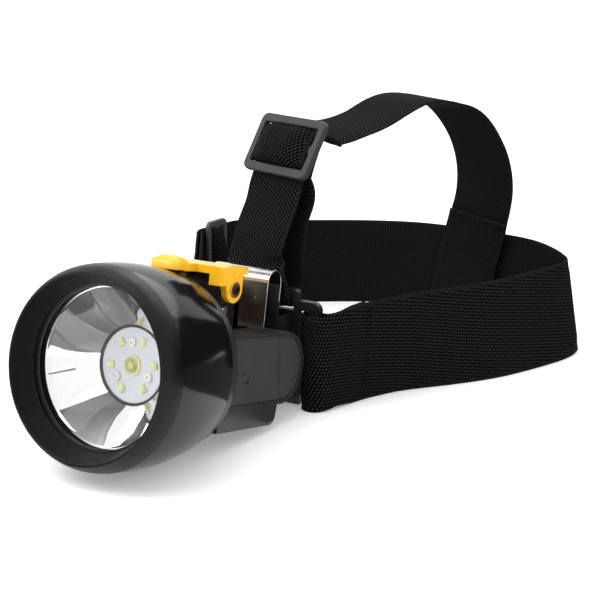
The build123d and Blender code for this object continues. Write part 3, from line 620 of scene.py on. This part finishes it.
def headband():
    """One strip: sewn loop on the right bar, round the head, glide, left bar and back."""
    ax, ay, az = ADJUSTER["at"]
    depth = ADJUSTER["size"][4]
    low = 18.6
    run_x = ax - (depth / 2 + GAP + BAND_T / 2)
    back_x = run_x - BAND_T - GAP
    right = [((35.2, 20.6, 20.0), (1.8, -0.7)), ((33.0, 14.0, 19.3), (1.6, -0.5)),
             ((31.1, 8.6, 18.8), (1.0, -0.3)), ((28.6, 4.75, low), (0.2, 0)),
             ((24.5, 4.75, low), (0, 0)), ((21.35, 4.5, low), (0, 0)), ((20.3, 2.25, low), (0, 0)),
             ((20.7, -0.4, low), (0, 0)), ((22.8, -2.6, low), (0.1, -0.3)),
             ((26.5, -2.9, low), (0.2, -0.4)), ((29.7, -0.7, 18.9), (0.5, -0.4)),
             ((31.8, 3.0, 19.4), (0.9, -0.5)), ((33.6, 7.8, 19.8), (1.4, -0.6)),
             ((35.2, 13.4, 20.0), (1.8, -0.7)), ((37.3, 19.8, 20.0), (2.1, -0.9))]
    head = [((43.5, 33.5, 20.2), (1.6, -1.1)), ((55.5, 53.0, 20.0), (0.4, -0.3)),
            ((67.0, 73.0, 20.0), (-1.2, 0.5)), ((74.8, 95.0, 20.0), (-2.8, 0.5)),
            ((79.2, 112.0, 20.0), (-3.3, 0.0)), ((78.6, 122.5, 20.0), (-3.0, -1.2)),
            ((72.5, 131.5, 20.0), (-1.8, -1.6)), ((63.5, 139.5, 20.0), (-0.8, -1.0)),
            ((51.8, 147.3, 20.0), (0, -0.4))]
    rear = [(38.5, 151.7, 20.0), (22.0, 153.9, 20.0), (5.5, 156.1, 20.0), (-8.5, 155.8, 20.0),
            (-21.5, 152.4, 20.0), (-33.5, 147.2, 20.0), (-45.0, 139.6, 20.2),
            (-54.6, 130.0, 20.8), (-65.0, 117.6, 21.9), (-73.4, 106.6, 22.9)]
    left = [(run_x + 0.9, ay + 17.0, az), (run_x, ay + 12.6, az), (run_x, ay + 5.0, az),
            (run_x, ay, az), (run_x, ay - 4.0, az), (run_x, ay - 7.0, az), (-77.2, 73.3, 23.5),
            (-74.9, 70.1, 23.5), (-70.4, 63.6, 23.2), (-60.2, 48.6, 22.0), (-43.0, 21.6, 20.4),
            (-33.4, 7.6, 19.1), (-28.6, 4.75, low), (-24.5, 4.75, low), (-21.35, 4.5, low),
            (-20.3, 2.25, low), (-21.35, 0.0, low), (-24.5, -0.2, low)]
    back = [(-29.4, 0.2, low), (-35.3, 5.6, 19.2), (-44.6, 20.5, 20.4), (-61.8, 47.5, 22.0),
            (-72.0, 62.5, 23.2), (-76.45, 69.1, 23.5), (-78.95, 72.8, 23.5),
            (back_x, ay - 6.8, az), (back_x, ay - 3.4, az), (back_x, ay, az)]
    path = []
    post_x, post_y, gathered, full = 27.0, 3.0, 4.0, 13.0   # width grows with distance from a post
    for point, lean in right + head + [(p, (0, 0)) for p in rear + left + back]:
        from_post = math.hypot(abs(point[0]) - post_x, point[1] - post_y)
        spread = min(max((from_post - gathered) / (full - gathered), 0.0), 1.0)
        path.append((point, (lean[0], lean[1], 19.9), LOOP_W + (BAND_W - LOOP_W) * spread))
    strip = Ribbon(path, BAND_T)
    band = strip.mesh("headband_webbing", "headgear", BAND_WEAVE)
    seam = strip.nearest((36.4, 17.4, 21.3), after=30.0)
    lap = strip.nearest((22.0, 153.9, 20.0))
    end = strip.run[-1]
    rows = [strip.stitches(seam + d, -18.2, 18.2) for d in (0.0, 1.5)]
    rows += [strip.stitches(seam, -18.2, 18.2, side=-1, lift=BAND_T + GAP)]
    rows += [strip.stitches(lap + d, -18.0, 18.4) for d in (-12.0, 12.0)]
    rows += [strip.stitches(end - d, -18.6, 18.6) for d in (3.0, 5.0)]
    thread = join_threads("headband_stitching", rows, "headgear")
    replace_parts(band, "headband")


def overhead_strap():
    """One strip: sewn end behind the glide, round the plate's top bar, over the head to the lap,
    with a tab sewn over its end."""
    across, up, out = slider_axes()
    origin = np.array(SLIDER["at"])

    def local(u, n):
        return tuple(origin + up * u + out * n)

    rear = SLIDER["size"][4] / 2 + GAP + STRAP_T / 2
    behind = rear + STRAP_T + GAP
    bar_y, bar_half = 2.25, 1.25        # the plate's top bar: middle and half its depth
    front_y = bar_y - bar_half - GAP - STRAP_T / 2
    square, turned = (1, 0, 0), (0.949, -0.316, 0)
    route = [(local(u, n), tuple(across)) for u, n in
             [(0, -behind), (-5.5, -behind - 0.6), (-10.5, -behind - 2.2)]]
    route += [((1.0, 21.6, 77.0), turned), ((0.4, 18.2, 68.0), turned), ((0.2, 16.2, 60.0), turned),
              ((0.2, 15.0, 54.0), turned), ((0, 13.0, 48.5), (0.974, -0.225, 0)),
              ((0, 9.3, 43.4), square), ((0, 5.3, 39.8), square), ((0, bar_y, 38.4), square),
              ((0, front_y + 0.25, 39.3), square), ((-0.3, -0.1, 43.0), square),
              ((-0.9, -0.3, 45.3), square), ((-1.8, -0.1, 48.0), (0.996, -0.087, 0)),
              ((-2.9, 2.1, 51.2), (0.976, -0.22, 0)), ((-3.4, 4.2, 54.4), turned),
              ((-3.1, 6.2, 60.0), turned), ((-2.4, 10.2, 68.0), turned),
              ((-1.6, 14.2, 75.5), turned)]
    route += [(local(u, -rear), tuple(across)) for u in (-12, -6, 0, 4.6)]
    route += [(local(7.2, -rear - 0.9), tuple(across)), (local(8.3, -rear - 3.4), tuple(across))]
    route += [((1.9, 35.5, 97.3), (0.93, -0.315, -0.19)),
              ((3.2, 40.4, 97.2), (0.931, -0.325, -0.164)),
              ((5.0, 48.0, 97.6), (0.947, -0.301, -0.114)),
              ((7.0, 55.7, 98.3), (0.957, -0.283, -0.069)),
              ((9.6, 73.7, 101.4), (0.986, -0.167, 0.015)), ((12.0, 92.0, 105.4), (0.99, -0.12, 0)),
              ((14.6, 111.3, 104.0), (0.99, -0.11, -0.08)),
              ((17.7, 129.0, 98.4), (0.98, -0.18, -0.04)), ((21.4, 143.0, 85.6), (0.97, -0.22, 0)),
              ((23.2, 151.0, 71.0), (0.98, -0.18, 0)), ((23.3, 152.7, 58.0), (0.99, -0.14, 0)),
              ((22.0, 152.2, 49.0), (0.991, -0.132, 0)), ((19.7, 152.4, 40.0), (0.992, -0.128, 0)),
              ((15.5, 152.75, 22.0), (0.993, -0.119, 0)), ((11.6, 153.05, 4.0), (0.994, -0.107, 0))]
    strip = Ribbon([(p, a, STRAP_W) for p, a in route], STRAP_T, outer=-1)
    strap = strip.mesh("overhead_webbing", "headgear", STRAP_WEAVE)
    lap = strip.nearest((19.0, 152.4, 37.5))
    end = strip.run[-1]
    rows = [strip.stitches(at, -13.6, 13.6, side=-1) for at in (lap, lap + 1.6, end - 3.0)]
    rows += [strip.stitches(v, lap + 2, end - 3, side=-1, along=True) for v in (-13.2, 13.2)]
    rows += [strip.stitches(3.0, -13.6, 13.6)]
    inset = np.array((0.0, -STRAP_T - 0.2, 0.0))
    tab_route = [((22.0, 151.5, 47.0), (0.991, -0.132, 0)),
                 ((21.6, 151.6, 44.5), (0.991, -0.132, 0)),
                 ((20.2, 151.9, 39.0), (0.992, -0.128, 0)),
                 ((16.2, 152.3, 22.0), (0.993, -0.119, 0)),
                 ((12.4, 152.6, 4.5), (0.994, -0.107, 0))]
    tab_w, tab_t = 30.8, 1.2
    tab = Ribbon([(tuple(np.array(p) + inset), a, tab_w) for p, a in tab_route], tab_t, outer=-1)
    tab_obj = tab.mesh("overhead_tab", "headgear", STRAP_WEAVE)
    rows += [tab.stitches(at, -14.2, 14.2, side=-1) for at in (1.8, 3.4, 17.5, tab.run[-1] - 2.5)]
    thread = join_threads("overhead_stitching", rows, "headgear")
    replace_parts(strap, "overhead_strap")


def glide_loop(name, node, body, axes, glide, thick, height, width, material, outer):
    """Short run of webbing that bulges over the middle bar of a glide."""
    across, along, out = (np.array(v, float) for v in axes)
    origin = np.array(glide["at"], float)
    route = [(tuple(origin + along * u + out * n), tuple(across), width)
             for u, n in bulge_path(glide["size"], thick, height)]
    strip = Ribbon(route, thick, spacing=0.6, outer=outer)
    loop = strip.mesh(name, body, material, droop=0.55)
    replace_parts(loop, node)


headband()
overhead_strap()
glide_loop("slider_webbing", "slider_loop", "strap_glide", slider_axes(), SLIDER, STRAP_T, 5.2,
           STRAP_W, STRAP_WEAVE, outer=1)
glide_loop("adjuster_webbing", "adjuster_loop", "band_glide", ((0, 0, 1), (0, 1, 0), (1, 0, 0)),
           ADJUSTER, BAND_T, 4.2, BAND_W, BAND_WEAVE, outer=-1)

# Width of the rounded edge of each moulded or turned node, in millimetres
SOFTENED = {
    "latch": 0.5, "steel_clip": 0.25, "rear_body": 0.5, "bottom_block": 0.6,
    "side_cover_right": 0.5, "side_cover_left": 0.5, "forehead_plate": 0.5, "band_adjuster": 0.6,
    "strap_slider": 0.8, "pivot_block": 0.3, "latch_eyelets": 0.15, "latch_pin": 0.15,
    "leaf_spring": 0.12, "lug_screws": 0.2, "clip_rivets": 0.3, "board_screws": 0.15,
    "block_screws": 0.2, "push_button": 0.4, "aux_leds": 0.15, "heat_sink": 0.3,
    "cell_holder": 0.3, "charge_contacts": 0.3, "board_ring": 0.15,
}
for node, width in SOFTENED.items():
    soften(frame["nodes"][node], width)


# Studio ---------------------------------------------------------------------------------------
def floor():
    """Pale floor with a faint glow of its own, which keeps the shadows soft."""
    s = 6.0
    mesh = bpy.data.meshes.new("floor")
    mesh.from_pydata([(-s, -s, 0), (s, -s, 0), (s, s, 0), (-s, s, 0)], [], [(0, 1, 2, 3)])
    obj = bpy.data.objects.new("floor", mesh)
    bpy.context.scene.collection.objects.link(obj)
    n = Nodes("floor_white")
    n.bsdf.inputs["Base Color"].default_value = (0.9, 0.9, 0.905, 1)
    n.bsdf.inputs["Roughness"].default_value = 0.9
    n.bsdf.inputs["Specular IOR Level"].default_value = 0.0
    n.bsdf.inputs["Emission Color"].default_value = (1, 1, 1, 1)
    n.bsdf.inputs["Emission Strength"].default_value = 0.22
    mesh.materials.append(n.material)


def surroundings():
    """Even white surroundings."""
    world = bpy.data.worlds.new("studio")
    bpy.context.scene.world = world
    world.use_nodes = True
    back = world.node_tree.nodes["Background"]
    back.inputs["Color"].default_value = (1, 1, 1, 1)
    back.inputs["Strength"].default_value = 1.1


def softbox(name, where, size, power, gloss_only=False):
    """Rectangular light aimed at the lamp."""
    light = bpy.data.lights.new(name, "AREA")
    light.energy = power
    light.shape = "RECTANGLE"
    light.size, light.size_y = size
    obj = bpy.data.objects.new(name, light)
    obj.location = where
    aim = Vector((0, 0, 0.04))
    obj.rotation_euler = (aim - Vector(where)).to_track_quat("-Z", "Y").to_euler()
    obj.visible_diffuse = not gloss_only
    bpy.context.scene.collection.objects.link(obj)


def flag(name, points, grey):
    """Dark studio panel that only shows in glossy surfaces."""
    panel = bpy.data.meshes.new(name)
    panel.from_pydata(points, [], [tuple(range(len(points)))])
    obj = bpy.data.objects.new(name, panel)
    bpy.context.scene.collection.objects.link(obj)
    shade = bpy.data.materials.new(name)
    shade.use_nodes = True
    tree = shade.node_tree
    tree.nodes.clear()
    glow = tree.nodes.new("ShaderNodeEmission")
    glow.inputs["Color"].default_value = (*grey, 1)
    end = tree.nodes.new("ShaderNodeOutputMaterial")
    tree.links.new(glow.outputs[0], end.inputs["Surface"])
    panel.materials.append(shade)
    obj.visible_camera = obj.visible_shadow = obj.visible_diffuse = False
    obj.visible_transmission = obj.visible_volume_scatter = False


def around(start, distance, towards):
    """Corners of a panel at one distance from a point, in the given directions."""
    return [Vector(start) + Vector(d).normalized() * distance for d in towards]


def flags():
    """Panels whose reflections darken the bezel, reflector, housing and clip."""
    flag("flag_rear", around((0.03, -0.1, 0.05), 0.45, [
        (0.02, 0.99, -0.1), (0.05, 0.985, 0.1), (0.12, 0.97, 0.17), (0.2, 0.94, 0.24),
        (0.28, 0.87, 0.4), (0.38, 0.82, 0.45), (0.62, 0.72, 0.36), (0.93, 0.35, 0.14),
        (0.96, 0.25, -0.13), (0.6, 0.8, -0.13), (0.35, 0.93, -0.1)]), (0.02, 0.014, 0.01))
    flag("flag_top", around((0.0, -0.1, 0.04), 0.9, [
        (0.42, -0.26, 0.87), (0.15, -0.5, 0.86), (-0.35, -0.4, 0.84), (-0.75, -0.1, 0.65),
        (-0.66, 0.12, 0.74), (-0.16, -0.06, 0.98)]), (0.12, 0.11, 0.105))
    flag("flag_side", around((-0.02, -0.1, 0.03), 0.6, [
        (0.835, -0.45, 0.335), (0.77, -0.57, 0.29), (0.775, -0.575, 0.245),
        (0.83, -0.462, 0.308)]), (0.12, 0.11, 0.1))
    flag("flag_front", around((-0.03, -0.1, 0.06), 0.07, [
        (0.73, -0.5, -0.4), (0.66, -0.6, -0.5), (0.3, -0.68, -0.66), (0.02, -0.42, -0.9),
        (0.2, -0.3, -0.9), (0.42, -0.47, -0.76), (0.66, -0.42, -0.6)]), (0.2, 0.19, 0.18))
    flag("flag_floor", around((0.03, -0.1, 0.004), 0.45, [
        (-1, 0.1, 0), (1, 0.1, 0), (0.7, 0.7, 0), (-0.7, 0.7, 0)]), (0.17, 0.165, 0.16))
    low, high = (Vector(corner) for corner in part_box("steel_clip"))
    left, right, top = low.x - 0.02, high.x + 0.012, high.z - 0.006
    corners = ((left, low.z), (right, low.z), (right, top), (left, top))
    flag("flag_clip", [Vector((x, low.y - 0.002, z)) for x, z in corners], (0.02, 0.013, 0.009))


def view():
    """Camera in front of the lamp, to its right and above it."""
    camera = bpy.data.cameras.new("camera")
    camera.sensor_width = 36.0
    camera.lens = 84.0
    camera.clip_start = 0.01
    obj = bpy.data.objects.new("camera", camera)
    obj.location = (0.279748, -0.448935, 0.175015)
    obj.rotation_euler = Vector((-0.5056, 0.8231, -0.2588)).to_track_quat("-Z", "Y").to_euler()
    bpy.context.scene.collection.objects.link(obj)
    bpy.context.scene.camera = obj
    bpy.context.scene.view_settings.view_transform = "Standard"


floor()
surroundings()
softbox("key", (-0.5, -0.6, 0.9), (0.7, 0.7), 5)
softbox("top", (-0.2, -0.3, 1.1), (1.2, 1.2), 7)
softbox("rear", (0.0, 0.72, 0.8), (1.0, 0.6), 3.5, gloss_only=True)
flags()
view()
